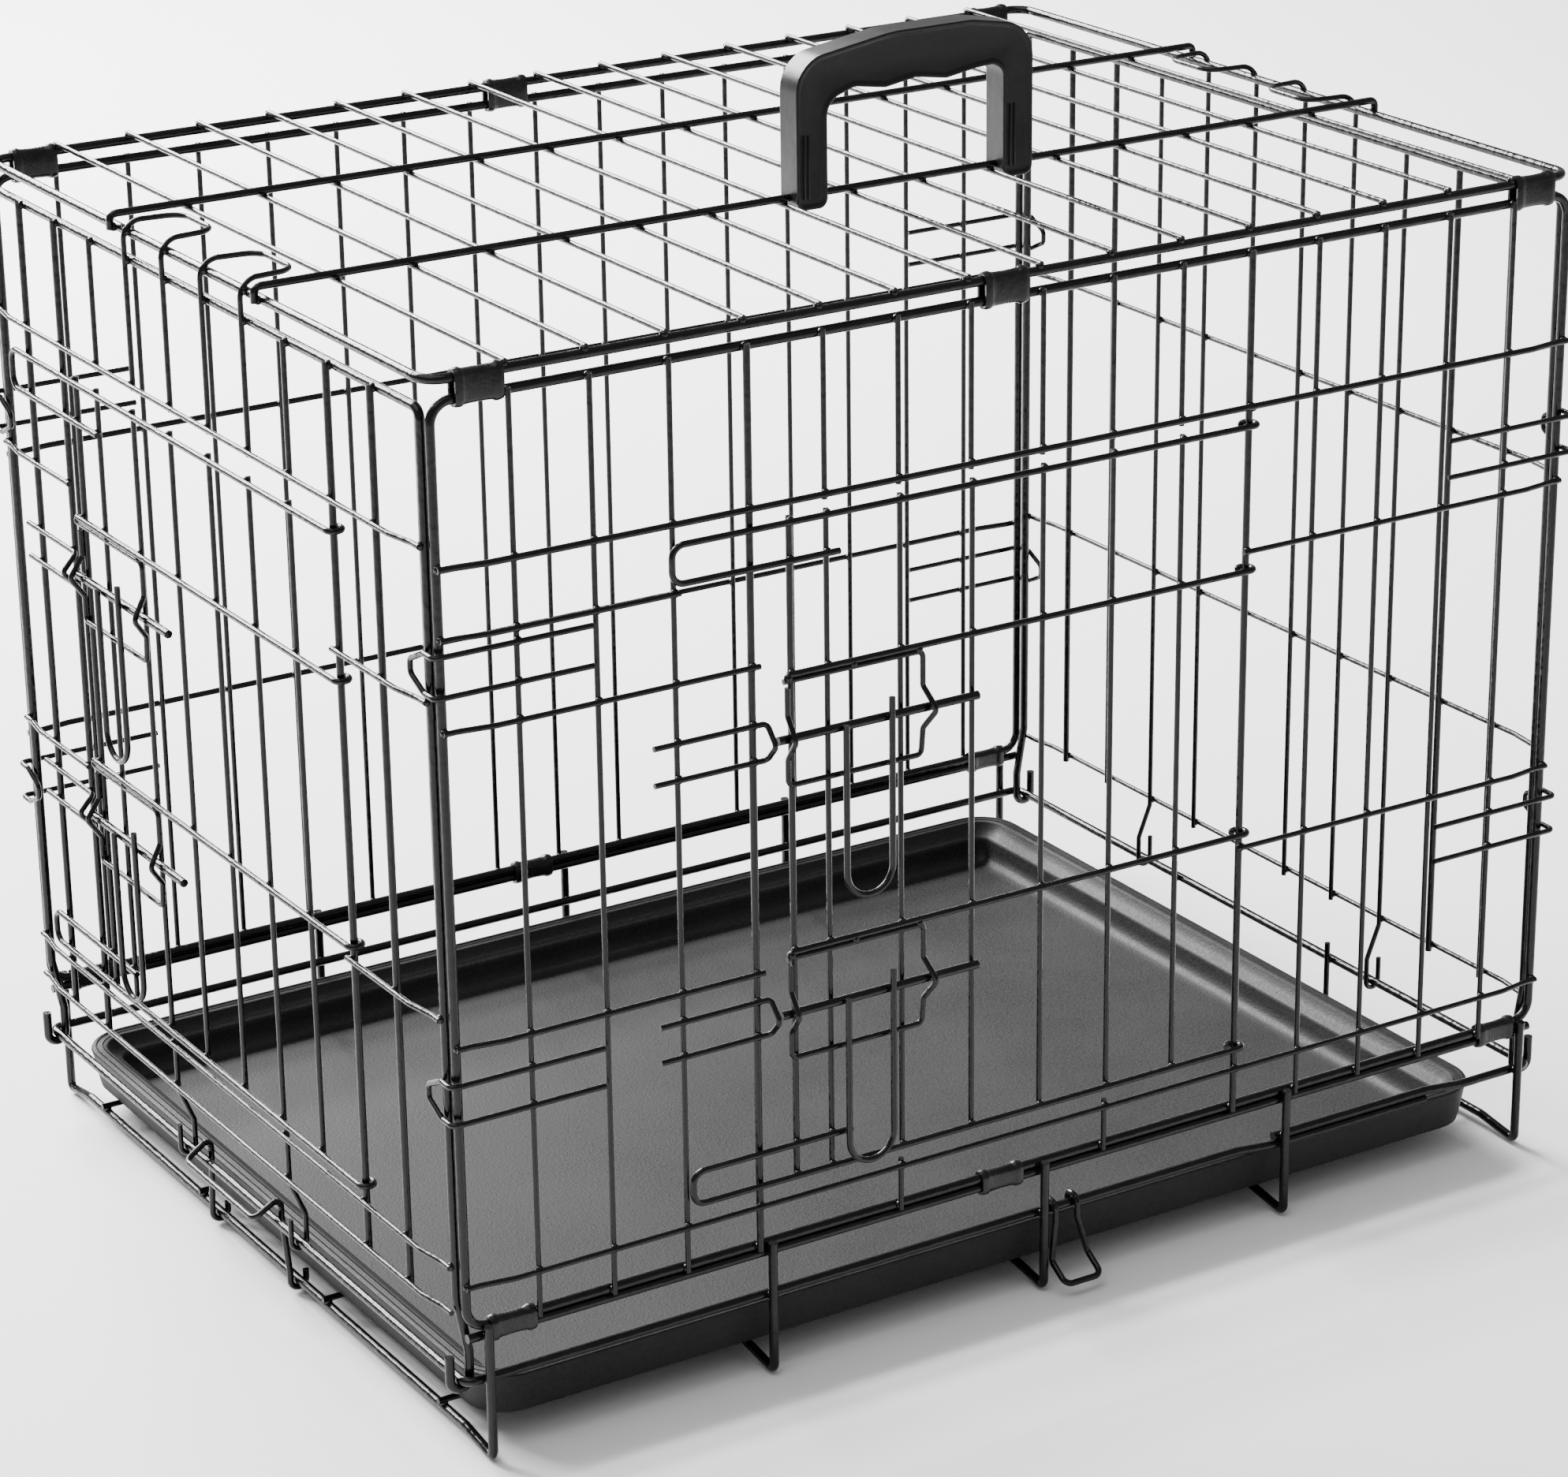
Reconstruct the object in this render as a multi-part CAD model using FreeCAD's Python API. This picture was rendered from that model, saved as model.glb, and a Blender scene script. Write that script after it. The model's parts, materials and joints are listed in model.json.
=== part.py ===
import FreeCAD, Part
import math
import os

# Folding wire dog crate, 24 inch size, two doors.
# Frame: +X along the long side, +Y from the front side to the back, +Z up.
# The origin is on the floor, in the middle of the cage. Millimetres.

V = FreeCAD.Vector

# ---- overall size of the cage, between wire centres ----
FRAME_LENGTH = 603.0
FRAME_WIDTH = 452.0
TOP_Z = 499.0
RIM_Z = 40.0
HINGE_Z = 61.7
TOP_PAIR_PITCH = 9.0
LOW_PAIR_PITCH = 4.6

# ---- wire radii ----
R_FRAME = 2.2
R_BAR = 1.7
R_LONG = 1.5
R_WIRE = 1.3
R_BOLT = 2.0

# ---- how the welded wires lie on each other ----
BITE = 0.15
LAYER_1 = R_FRAME + R_WIRE - BITE
LAYER_2 = LAYER_1 + 2 * R_WIRE - BITE
LOOSE = 0.4
FREE = 0.1
FRAME_BEND = 10.0
WIRE_BEND = 3.0

# ---- side panels ----
SIDE_PITCH = 38.1
SIDE_COUNT = 15
SIDE_TOP_Z = TOP_Z - TOP_PAIR_PITCH
SIDE_BOTTOM_Z = HINGE_Z + LOW_PAIR_PITCH
SIDE_LOW_RAIL_Z = 88.0
SIDE_UPPER_RAIL_Z = 419.0
HOOK_Z = (373.0, 177.5)
HOOK_HALF = 9.0

# ---- end panels ----
END_PITCH = 40.6
END_HALF = 220.3
END_SET_OUT = 1.5
END_TOP_Z = 486.5
END_LOW_Z = 74.0
END_SECOND_Z = 96.0
END_UPPER_RAIL_Z = 428.0
TIP_RISE = 12.0

# ---- top panel ----
CROSS_TIP = 1.6
R_TOP_LONG = 1.8
TOP_LONG_Y = 75.3
TOP_FRAME_INSET = 0.6

# ---- base ----
RIM_BEND = 5.0
FOOT_HALF_X = 293.0
FOOT_Z = R_FRAME
RUN_Z = 6.2
FOOT_RISE = 26.0
TIP_LEAN = 0.6
FOOT_PAST_BAR = 3.8
FLOOR_WIRE_Y = (184.0, 68.0)
LAP_FROM = 142.0
LAP_LENGTH = 95.0
LAP_EASE = 22.0

# ---- hinge clips ----
CLIP_LENGTH = 22.0
CLIP_END_X = 279.4
CLIP_MID_X = -19.0
CLIP_WALL = 1.0
CLIP_RUN = 0.1

# ---- doors: values along the panel, from the keeper side to the hinge side ----
FRONT_HINGE_U = 3 * SIDE_PITCH
FRONT_OPEN_U = -4 * SIDE_PITCH
END_HINGE_U = 3.5 * END_PITCH
END_OPEN_U = -3.5 * END_PITCH
KEEPER_PAST = 6.0
KEEPER_LEG = 57.0
BOLT_DROP = 29.0
GUIDE_HALF_HEIGHT = 24.5
BOLT_TIP_GAP = 2.7
BOLT_LENGTH = 105.0
PULL_WIDTH = 24.0
PULL_DROP = 81.0
PULL_STUB = 10.0
EYE_TURN = 250.0

# ---- tray ----
TRAY_LEFT_X = -292.5
TRAY_RIGHT_X = 281.0
TRAY_HALF_Y = 221.0
TRAY_TOP_Z = 34.0
TRAY_WALL = 2.0
TRAY_TAPER = 3.0
TRAY_RIM = 8.0
TRAY_SHELF = 9.0
TRAY_COVE = 10.0
TRAY_CORNER = 24.0
TRAY_LEAST_CORNER = 4.0

# ---- carry handle ----
GRIP_LEFT_X = -34.0
GRIP_RIGHT_X = 95.5
GRIP_LEG = 17.0
GRIP_TOP_Z = 577.0
GRIP_WEB = 8.0
GRIP_FLANGE = 15.0
GRIP_FLANGE_WALL = 2.4
GRIP_EYE_R = 5.5

# ---- worked out from the values above ----
HALF_L = FRAME_LENGTH / 2
HALF_W = FRAME_WIDTH / 2
END_PLANE = HALF_L + END_SET_OUT
EYE_R = R_BAR + LOOSE + R_LONG
DOOR_LAYER = LAYER_1 + EYE_R
BOLT_W = DOOR_LAYER + 1.3
CROSS_Z = TOP_Z + R_FRAME + R_WIRE - BITE
TOP_LONG_Z = CROSS_Z + R_WIRE + R_TOP_LONG - 2 * BITE
FLOOR_WIRE_Z = RUN_Z + R_FRAME + R_LONG - BITE
TRAY_BOTTOM_Z = FLOOR_WIRE_Z + R_LONG + FREE

os.makedirs("parts", exist_ok=True)


# ---------------------------------------------------------------- wire tools
def front(u, w, z):
    """u along the panel to its hinge side, w outwards, z up."""
    return V(u, -HALF_W - w, z)


def back(u, w, z):
    return V(-u, HALF_W + w, z)


def left(u, w, z):
    return V(-END_PLANE - w, -u, z)


def right(u, w, z):
    return V(END_PLANE + w, u, z)


def rod(a, b, r):
    """A straight wire with flat ends."""
    run = b.sub(a)
    return Part.makeCylinder(r, run.Length, a, run)


def bent_edges(points, bend, closed=False):
    """Straight runs joined by tangent arcs of radius bend, less where a run is short."""
    n = len(points)
    corners = range(n) if closed else range(1, n - 1)
    cut = {}
    for i in corners:
        p, a, b = points[i], points[i - 1], points[(i + 1) % n]
        back_run = a.sub(p)
        on_run = b.sub(p)
        turn = math.pi - back_run.getAngle(on_run)
        reach = bend * math.tan(turn / 2)
        limit = 0.498 * min(back_run.Length, on_run.Length)
        reach = min(reach, limit)
        back_run.normalize()
        on_run.normalize()
        start = p.add(back_run * reach)
        end = p.add(on_run * reach)
        radius = reach / math.tan(turn / 2)
        inward = back_run.add(on_run)
        inward.normalize()
        sag = radius / math.cos(turn / 2) - radius
        cut[i] = (start, p.add(inward * sag), end)
    edges = []
    last = cut[0][2] if closed else points[0]
    order = list(range(1, n)) + ([0] if closed else [])
    for i in order:
        if i in cut:
            start, middle, end = cut[i]
            if start.sub(last).Length > 1e-4:
                edges.append(Part.LineSegment(last, start).toShape())
            edges.append(Part.Arc(start, middle, end).toShape())
            last = end
        elif points[i].sub(last).Length > 1e-4:
            edges.append(Part.LineSegment(last, points[i]).toShape())
            last = points[i]
    return edges


def sweep(edges, r):
    path = Part.Wire(edges)
    first = edges[0]
    at = first.valueAt(first.FirstParameter)
    along = first.tangentAt(first.FirstParameter)
    ring = Part.Wire([Part.makeCircle(r, at, along)])
    return path.makePipeShell([ring], True, True)


def bent(points, r, bend=WIRE_BEND):
    """One bent wire through the points."""
    return sweep(bent_edges(points, bend), r)


def hoop(points, r, bend):
    """One closed wire: four straight tubes and four bends, fused."""
    edges = bent_edges(points, bend, closed=True)
    pieces = [sweep([edge], r) for edge in edges]
    whole = pieces[0].fuse(pieces[1:])
    return whole.removeSplitter().Solids[0]


def save(name, solids):
    shape = solids[0] if len(solids) == 1 else Part.makeCompound(solids)
    for one in solids:
        if not one.isValid():
            print("not valid:", name)
    shape.exportStep("parts/" + name + ".step")
    print(name, len(solids), round(shape.Volume, 1))


# ---------------------------------------------------------------- panel tools
def bar(place, u, z0, z1, r=R_WIRE):
    """An upright wire on the outside of the frame."""
    return rod(place(u, LAYER_1, z0), place(u, LAYER_1, z1), r)


def rail(place, u0, u1, z, half, r=R_WIRE):
    """A lengthwise wire over the uprights. An end past the frame's side is set in to it."""
    land = R_FRAME + r - BITE
    points = []
    if u0 <= -half:
        points += [(-half - 1.2, land), (-half + 6, land), (-half + 22, LAYER_2)]
    else:
        points += [(u0, LAYER_2)]
    if u1 >= half:
        points += [(half - 22, LAYER_2), (half - 6, land), (half + 1.2, land)]
    else:
        points += [(u1, LAYER_2)]
    if len(points) == 2:
        return rod(place(u0, LAYER_2, z), place(u1, LAYER_2, z), r)
    return bent([place(u, w, z) for u, w in points], r, 20.0)


def corner_hook(place, side, z):
    """Two legs on the panel's first uprights that wrap the end panel's corner upright."""
    tip = side * (6 * SIDE_PITCH + 3.0)
    past = side * (END_PLANE + R_FRAME + R_WIRE + LOOSE + 0.2)
    inset = HALF_W - END_HALF
    flat = [(tip, LAYER_2), (past, LAYER_2), (past, 2.0 - inset), (past, -inset - 10.0)]
    heights = [HOOK_HALF, HOOK_HALF, HOOK_HALF, HOOK_HALF * 0.35]
    go = [place(u, w, z + h) for (u, w), h in zip(flat, heights)]
    come = [place(u, w, z - h) for (u, w), h in zip(flat, heights)]
    return bent(go + come[::-1], R_WIRE)


def sleeve(x0, y, lower_z, pitch, r):
    """A stadium-shaped bar along X round two parallel rails."""
    along = V(1, 0, 0)
    body = Part.makeCylinder(r, CLIP_LENGTH, V(x0, y, lower_z), along)
    body = body.fuse(Part.makeCylinder(r, CLIP_LENGTH, V(x0, y, lower_z + pitch), along))
    return body.fuse(Part.makeBox(CLIP_LENGTH, 2 * r, pitch, V(x0, y - r, lower_z)))


def clip(centre_x, y, lower_z, pitch):
    """A sheet sleeve crimped round two parallel rails."""
    x0 = centre_x - CLIP_LENGTH / 2
    bore = R_FRAME + CLIP_RUN
    body = sleeve(x0, y, lower_z, pitch, bore + CLIP_WALL)
    return body.cut(sleeve(x0, y, lower_z, pitch, bore)).removeSplitter().Solids[0]


def clip_row(y, lower_z, pitch):
    return [clip(x, y, lower_z, pitch) for x in (-CLIP_END_X, CLIP_MID_X, CLIP_END_X)]


# ---------------------------------------------------------------- base
lap_rise = R_FRAME + FREE / 2
lap_to = LAP_FROM + LAP_LENGTH
ring = [V(LAP_FROM, -HALF_W, RIM_Z + lap_rise), V(lap_to, -HALF_W, RIM_Z + lap_rise)]
ring += [V(lap_to + LAP_EASE, -HALF_W, RIM_Z), V(END_PLANE, -HALF_W, RIM_Z)]
ring += [V(END_PLANE, HALF_W, RIM_Z), V(-END_PLANE, HALF_W, RIM_Z)]
ring += [V(-END_PLANE, -HALF_W, RIM_Z), V(LAP_FROM - LAP_EASE, -HALF_W, RIM_Z)]
ring += [V(LAP_FROM, -HALF_W, RIM_Z - lap_rise), V(lap_to, -HALF_W, RIM_Z - lap_rise)]
save("base_rim_rail", [bent(ring, R_FRAME, RIM_BEND)])

hinge_rails = []
for y in (-HALF_W, HALF_W):
    hinge_rails.append(rod(V(-HALF_L, y, HINGE_Z), V(HALF_L, y, HINGE_Z), R_FRAME))
save("base_hinge_rails", hinge_rails)

cross_wires = []
side_w = 2 * R_FRAME - BITE
for step in range(5):
    x = (step - 2) * FOOT_HALF_X / 2
    if step == 2:
        x += FOOT_PAST_BAR
    y_out = HALF_W + side_w
    half_path = [(y_out + TIP_LEAN, SIDE_BOTTOM_Z + 1.2), (y_out, HINGE_Z), (y_out, FOOT_Z)]
    half_path += [(y_out - FOOT_RISE, RUN_Z)]
    points = [V(x, -y, z) for y, z in half_path] + [V(x, y, z) for y, z in half_path[::-1]]
    cross_wires.append(bent(points, R_FRAME))
save("base_cross_wires", cross_wires)

floor_wires = []
stop_x = END_PLANE - R_FRAME - R_LONG + BITE
for y in FLOOR_WIRE_Y:
    for side in (-1, 1):
        start = V(-FOOT_HALF_X - 3.0, side * y, FLOOR_WIRE_Z)
        if y == min(FLOOR_WIRE_Y):
            turn = V(stop_x, side * y, FLOOR_WIRE_Z)
            tip = V(stop_x, side * y, RIM_Z + 10.0)
            floor_wires.append(bent([start, turn, tip], R_LONG, 5.0))
        else:
            end = V(FOOT_HALF_X + 3.0, side * y, FLOOR_WIRE_Z)
            floor_wires.append(rod(start, end, R_LONG))
save("base_floor_wires", floor_wires)


# ---------------------------------------------------------------- side panels
def side_frame(place):
    zs = (SIDE_BOTTOM_Z, SIDE_TOP_Z)
    corners = [(-HALF_L, zs[0]), (HALF_L, zs[0]), (HALF_L, zs[1]), (-HALF_L, zs[1])]
    return hoop([place(u, 0, z) for u, z in corners], R_FRAME, FRAME_BEND)


def side_hooks(place):
    hooks = []
    for z in HOOK_Z:
        for side in (-1, 1):
            hooks.append(corner_hook(place, side, z))
    return hooks


TIP = 1.6
BAR_TOP = SIDE_TOP_Z + TIP
BAR_BOTTOM = SIDE_BOTTOM_Z - TIP

save("front_frame", [side_frame(front)])
front_bars = []
for k in range(1 - 8, SIDE_COUNT + 1 - 8):
    u = k * SIDE_PITCH
    at_door_edge = u in (FRONT_OPEN_U, FRONT_HINGE_U)
    r = R_BAR if at_door_edge else R_WIRE
    if FRONT_OPEN_U < u < FRONT_HINGE_U:
        front_bars.append(bar(front, u, SIDE_UPPER_RAIL_Z - 3.0, BAR_TOP))
        if k in (-2, 1):
            front_bars.append(bar(front, u, BAR_BOTTOM, SIDE_LOW_RAIL_Z + 3.0))
    else:
        front_bars.append(bar(front, u, BAR_BOTTOM, BAR_TOP, r))
save("front_bars", front_bars)

front_rails = [rail(front, -HALF_L, HALF_L, SIDE_UPPER_RAIL_Z, HALF_L, R_LONG)]
front_rails.append(rail(front, -HALF_L, HALF_L, SIDE_LOW_RAIL_Z, HALF_L))
front_rails.append(rail(front, -HALF_L, -5 * SIDE_PITCH + 2.0, 388.0, HALF_L))
for z in (347.0, 202.5):
    front_rails.append(rail(front, -HALF_L, FRONT_OPEN_U + 3.0, z, HALF_L))
for z in (349.5, 202.5):
    front_rails.append(rail(front, FRONT_HINGE_U - 3.0, HALF_L, z, HALF_L))
save("front_rails", front_rails)
save("front_corner_hooks", side_hooks(front))

save("back_frame", [side_frame(back)])
back_bars = []
for k in range(1 - 8, SIDE_COUNT + 1 - 8):
    back_bars.append(bar(back, k * SIDE_PITCH, BAR_BOTTOM, BAR_TOP))
save("back_bars", back_bars)
back_rails = []
for z in (350.0, 202.5):
    back_rails.append(rail(back, -HALF_L, HALF_L, z, HALF_L, R_LONG))
save("back_rails", back_rails)
save("back_corner_hooks", side_hooks(back))


# ---------------------------------------------------------------- end panels
def foot_hook(place, u, upper, r, turn_in_z):
    """The lower end of an upright: inside the rim rail, under it and up outside."""
    reach = R_FRAME + LOOSE + r
    start_w = upper[-1][1]
    low_z = RIM_Z - reach
    tail = [(u, start_w, turn_in_z), (u, -reach, RIM_Z + 13.0), (u, -reach, low_z)]
    tail += [(u, reach, low_z), (u, reach, RIM_Z + TIP_RISE)]
    return [place(*p) for p in upper + tail]


def end_frame(place):
    """A top rail and two corner uprights that end in foot hooks, one bent wire."""
    half = foot_hook(place, END_HALF, [(END_HALF, 0, END_TOP_Z)], R_FRAME, 80.0)
    other = foot_hook(place, -END_HALF, [(-END_HALF, 0, END_TOP_Z)], R_FRAME, 80.0)
    points = other[::-1] + half
    small = R_FRAME + LOOSE + R_FRAME
    edges = bent_edges(points, small)
    return sweep(edges, R_FRAME)


def top_loop(place, u, low_z):
    """Two neighbouring uprights made of one wire that loops in over the top panel's rail."""
    a, b = u - END_PITCH / 2, u + END_PITCH / 2
    z = TOP_Z + R_FRAME + R_WIRE + 2.5
    into = -25.0
    points = [(a, LAYER_1, low_z), (a, LAYER_1, z), (a + 3, into, z)]
    points += [(b - 3, into, z), (b, LAYER_1, z), (b, LAYER_1, low_z)]
    run = [place(*p) for p in points]
    edges = bent_edges(run, 9.0)
    return sweep(edges, R_WIRE)


END_BAR_TOP = END_TOP_Z + TIP
END_BAR_LOW = END_LOW_Z - 3.0

save("left_frame", [end_frame(left)])
save("right_frame", [end_frame(right)])

left_bars = []
for u in (-4.5, -3.5, 3.5, 4.5):
    left_bars.append(bar(left, u * END_PITCH, END_BAR_LOW, END_BAR_TOP, R_BAR))
for u in (-2.5, 2.5):
    left_bars.append(bar(left, u * END_PITCH, END_UPPER_RAIL_Z - 3.0, END_BAR_TOP))
save("left_bars", left_bars)
right_bars = []
for u in (-4.5, -3.5, 3.5, 4.5):
    right_bars.append(bar(right, u * END_PITCH, END_BAR_LOW, END_BAR_TOP, R_BAR))
save("right_bars", right_bars)

loops = [top_loop(left, u, END_UPPER_RAIL_Z - 3.0) for u in (-END_PITCH, END_PITCH)]
save("left_top_loops", loops)
loops = [top_loop(right, u, END_BAR_LOW) for u in (-END_PITCH, END_PITCH)]
save("right_top_loops", loops)

hooks = []
for u in (-1.5 * END_PITCH, 1.5 * END_PITCH):
    path = foot_hook(left, u, [(u, LAYER_1, END_SECOND_Z + 3.0)], R_WIRE, END_LOW_Z - 3.0)
    hooks.append(bent(path, R_WIRE, R_FRAME + LOOSE + R_WIRE))
save("left_foot_hooks", hooks)
hooks = []
for u in (-2.5 * END_PITCH, 2.5 * END_PITCH):
    path = foot_hook(right, u, [(u, LAYER_1, END_BAR_TOP)], R_WIRE, END_LOW_Z - 3.0)
    hooks.append(bent(path, R_WIRE, R_FRAME + LOOSE + R_WIRE))
save("right_foot_hooks", hooks)

left_rails = [rail(left, -END_HALF, END_HALF, END_UPPER_RAIL_Z, END_HALF)]
for z in (END_LOW_Z, END_SECOND_Z):
    left_rails.append(rail(left, -END_HALF, END_HALF, z, END_HALF))
for z in (359.5, 214.5):
    left_rails.append(rail(left, -END_HALF, END_OPEN_U + 3.0, z, END_HALF))
    left_rails.append(rail(left, END_HINGE_U - 3.0, END_HALF, z, END_HALF))
save("left_rails", left_rails)
right_rails = []
for z in (351.0, 208.0, END_LOW_Z):
    right_rails.append(rail(right, -END_HALF, END_HALF, z, END_HALF))
save("right_rails", right_rails)

# ---------------------------------------------------------------- top panel
top_x = END_PLANE - TOP_FRAME_INSET
corners = [(-top_x, -HALF_W), (top_x, -HALF_W), (top_x, HALF_W), (-top_x, HALF_W)]
save("top_frame", [hoop([V(x, y, TOP_Z) for x, y in corners], R_FRAME, FRAME_BEND)])
cross = []
for k in range(1 - 8, SIDE_COUNT + 1 - 8):
    x = k * SIDE_PITCH
    reach = HALF_W + CROSS_TIP
    cross.append(rod(V(x, -reach, CROSS_Z), V(x, reach, CROSS_Z), R_WIRE))
save("top_cross_wires", cross)
long_wires = []
for y in (-TOP_LONG_Y, TOP_LONG_Y):
    x_end = top_x + R_FRAME + R_TOP_LONG - BITE
    half_run = [(-x_end, TOP_Z - 1.0), (-x_end, TOP_LONG_Z), (x_end, TOP_LONG_Z)]
    half_run += [(x_end, TOP_Z - 1.0)]
    long_wires.append(bent([V(x, y, z) for x, z in half_run], R_TOP_LONG, 3.0))
save("top_long_wires", long_wires)

save("top_front_clips", clip_row(-HALF_W, SIDE_TOP_Z, TOP_PAIR_PITCH))
save("top_back_clips", clip_row(HALF_W, SIDE_TOP_Z, TOP_PAIR_PITCH))
save("base_front_clips", clip_row(-HALF_W, HINGE_Z, LOW_PAIR_PITCH))
save("base_back_clips", clip_row(HALF_W, HINGE_Z, LOW_PAIR_PITCH))


# ---------------------------------------------------------------- doors
def eye_rail(place, hinge_u, z, tail, bend=6.0):
    """A door wire with an eye round the hinge upright. tail goes on from the eye: (u, z)."""
    centre = place(hinge_u, LAYER_1, z)
    out = place(hinge_u, LAYER_1 + EYE_R, z)
    first = out.sub(centre)
    along = place(hinge_u + EYE_R, LAYER_1, z).sub(centre)
    ring = []
    for part in (1.0, 0.5, 0.0):
        a = math.radians(EYE_TURN) * part
        ring.append(centre.add(first * math.cos(a)).add(along * math.sin(a)))
    edges = [Part.Arc(*ring).toShape()]
    points = [out] + [place(u, DOOR_LAYER, h) for u, h in tail]
    edges += bent_edges(points, bend)
    return sweep(edges, R_LONG)


def door_rails(place, hinge_u, edge_u, spec):
    top, upper, lower, bottom = spec["rails"]
    top_leg, bottom_leg = spec["legs"]
    stop_top, stop_bottom = spec["stops"]
    leg_end = spec["leg_end"]
    rails = [eye_rail(place, hinge_u, top, [(stop_top, top), (stop_top, top_leg),
                                            (leg_end, top_leg)])]
    for z in (upper, lower):
        rails.append(eye_rail(place, hinge_u, z, [(edge_u - 3.0, z)]))
    rails.append(eye_rail(place, hinge_u, bottom, [(stop_bottom, bottom),
                                                   (stop_bottom, bottom_leg),
                                                   (leg_end + 4.0, bottom_leg)]))
    return rails


def door_bars(place, us, edge_u, spec):
    top, bottom = spec["rails"][0], spec["rails"][3]
    w = DOOR_LAYER - R_LONG - R_WIRE + BITE
    bars = [rod(place(u, w, bottom - 2.0), place(u, w, top + 2.0), R_WIRE) for u in us]
    w = DOOR_LAYER - 2 * R_LONG + BITE
    bars.append(rod(place(edge_u, w, bottom - 2.0), place(edge_u, w, top + 2.0), R_LONG))
    return bars


def keeper(place, keeper_u, z):
    """A hairpin on the panel. Its closed end stands out, and the bolt goes in behind it."""
    apex = BOLT_W + R_BOLT + R_WIRE + 1.9
    tip = keeper_u - KEEPER_LEG
    legs = [(tip, LAYER_2, z + 8.5), (keeper_u, LAYER_2, z + 8.5), (keeper_u, apex, z)]
    legs += [(keeper_u, LAYER_2, z - 8.5), (tip, LAYER_2, z - 8.5)]
    return bent([place(*p) for p in legs], R_WIRE, 2.5)


def guide(place, keeper_u, rail_z):
    """The bolt's housing: one wire, each side bowed out over the bolt."""
    z = rail_z - BOLT_DROP
    hi = rail_z - R_LONG - R_WIRE + BITE
    lo = z - GUIDE_HALF_HEIGHT + 2.0
    ul, ur = keeper_u + 9.9, keeper_u + 80.4
    w = DOOR_LAYER
    apex = BOLT_W + R_BOLT + R_WIRE + 2.4
    path = [(ul - 2.0, w, hi), (ur, w, hi), (ur, w, z + 10), (ur + 3, apex, z)]
    path += [(ur, w, z - 10), (ur - 1, w, lo), (ul, w, lo), (ul, w, z - 10)]
    path += [(ul, apex, z), (ul, w, z + 10), (ul, w, hi - 2 * R_WIRE - 0.6)]
    return bent([place(*p) for p in path], R_WIRE, 3.0)


def bolt(place, keeper_u, rail_z):
    z = rail_z - BOLT_DROP
    tip = keeper_u + R_WIRE + BOLT_TIP_GAP
    return rod(place(tip, BOLT_W, z), place(tip + BOLT_LENGTH, BOLT_W, z), R_BOLT)


def pull(place, keeper_u, rail_z):
    """The wire loop that hangs on the bolt."""
    z = rail_z - BOLT_DROP
    w = BOLT_W + R_BOLT + R_LONG + FREE
    b = keeper_u + 61.0
    a = b - PULL_WIDTH
    low = z - PULL_DROP
    path = [(a, w, z + 1.5), (a, w, low), (b, w, low), (b, w, z + PULL_STUB)]
    return bent([place(*p) for p in path], R_LONG, PULL_WIDTH / 2 - 0.05)


def build_door(name, place, hinge_u, open_u, edge_u, us, spec):
    keeper_u = open_u + KEEPER_PAST
    upper, lower = spec["rails"][1], spec["rails"][2]
    keepers = [keeper(place, keeper_u, z - BOLT_DROP) for z in (upper, lower)]
    save({"front": "front", "end": "left"}[name] + "_bolt_keepers", keepers)
    save(name + "_door_rails", door_rails(place, hinge_u, edge_u, spec))
    save(name + "_door_bars", door_bars(place, us, edge_u, spec))
    save(name + "_bolt_guides", [guide(place, keeper_u, z) for z in (upper, lower)])
    for level, z in (("upper", upper), ("lower", lower)):
        save(name + "_" + level + "_bolt", [bolt(place, keeper_u, z)])
        save(name + "_" + level + "_pull", [pull(place, keeper_u, z)])
        at = place(hinge_u, LAYER_1, z)
        axis = place(keeper_u, BOLT_W, z - BOLT_DROP)
        print("  hinge", name, at.x, at.y, "bolt axis", level, axis.x, axis.y, axis.z)


front_spec = {"rails": (410.0, 340.5, 209.5, 99.0), "legs": (392.5, 115.0)}
front_spec["stops"] = (-193.0, -189.0)
front_spec["leg_end"] = -109.0
front_us = [k * SIDE_PITCH for k in range(-3, 3)]
build_door("front", front, FRONT_HINGE_U, FRONT_OPEN_U, -133.0, front_us, front_spec)

end_spec = {"rails": (414.0, 346.0, 216.0 + 5.5, 104.5), "legs": (394.5, 120.5)}
end_spec["stops"] = (-196.0, -192.0)
end_spec["leg_end"] = -98.0
end_us = [(k + 0.5) * END_PITCH for k in range(-3, 3)]
build_door("end", left, END_HINGE_U, END_OPEN_U, -126.0, end_us, end_spec)


# ---------------------------------------------------------------- tray
def tub(levels):
    """A solid through rounded rectangles: (inset from the rim, z)."""
    wires = []
    for inset, z in levels:
        x0, x1, y = TRAY_LEFT_X + inset, TRAY_RIGHT_X - inset, TRAY_HALF_Y - inset
        points = [V(x0, -y, z), V(x1, -y, z), V(x1, y, z), V(x0, y, z)]
        corner = max(TRAY_CORNER - inset, TRAY_LEAST_CORNER)
        wires.append(Part.Wire(bent_edges(points, corner, closed=True)))
    return Part.makeLoft(wires, True, True)


base_z = TRAY_BOTTOM_Z
floor_z = base_z + TRAY_WALL
outside = tub([(TRAY_TAPER + 6.0, base_z), (TRAY_TAPER + 1.5, base_z + 1.7),
               (TRAY_TAPER, base_z + 6.0), (0.0, TRAY_TOP_Z)])
shelf = TRAY_RIM + TRAY_SHELF
inside = tub([(shelf + TRAY_COVE, floor_z), (shelf + 4.0, floor_z + 2.5),
              (shelf, TRAY_TOP_Z - 8.0), (TRAY_RIM, TRAY_TOP_Z)])
inside = inside.fuse(tub([(TRAY_RIM, TRAY_TOP_Z), (TRAY_RIM, TRAY_TOP_Z + 1.0)]))
tray = outside.cut(inside)
save("tray", [tray.removeSplitter().Solids[0]])

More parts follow.
